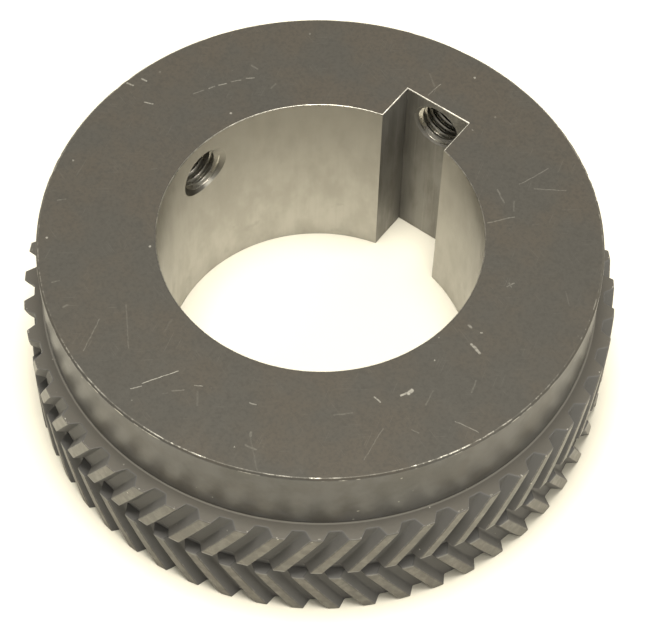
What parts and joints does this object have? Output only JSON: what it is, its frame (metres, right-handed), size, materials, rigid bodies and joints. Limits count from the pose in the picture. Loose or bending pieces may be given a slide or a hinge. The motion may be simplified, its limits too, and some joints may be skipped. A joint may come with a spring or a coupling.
{
  "type": "double-helical gear",
  "caption": "Double-helical gear with two staggered rows of opposite-hand teeth, a plain hub on one side, a keyed through bore and radial set screws.",
  "frame": {"origin": "on the axis, at the centre of the toothed end's flat face, the face it stands on", "axes": "+Z along the bore's axis from the toothed end to the plain hub end, +Y through the middle of the keyway"},
  "size_m": [0.1496, 0.1496, 0.056],
  "materials": {
    "dark_oxide_hub": "satin dark oxide outside, bare machined bore",
    "dark_oxide_teeth": "satin dark oxide, tooth lands worn lighter",
    "black_alloy_screw": "black oxide",
    "ground_pin": "ground"
  },
  "bodies": {
    "gear": {"hub": "dark_oxide_hub", "lower_toothed_ring": "dark_oxide_teeth", "upper_toothed_ring": "dark_oxide_teeth", "dowel_pin_1": "ground_pin", "dowel_pin_2": "ground_pin", "dowel_pin_3": "ground_pin", "dowel_pin_4": "ground_pin"},
    "keyway_screw": {"keyway_set_screw": "black_alloy_screw"},
    "bore_screw": {"bore_set_screw": "black_alloy_screw"}
  },
  "joints": [
    {"name": "keyway_screw_travel", "type": "slide", "parent": "gear", "child": "keyway_screw", "axis": [0, 1, 0], "range_m": [-0.00977, 0.01172]},
    {"name": "bore_screw_travel", "type": "slide", "parent": "gear", "child": "bore_screw", "axis": [-0.9954, 0.0958, 0], "range_m": [-0.00977, 0.02149]}
  ]
}
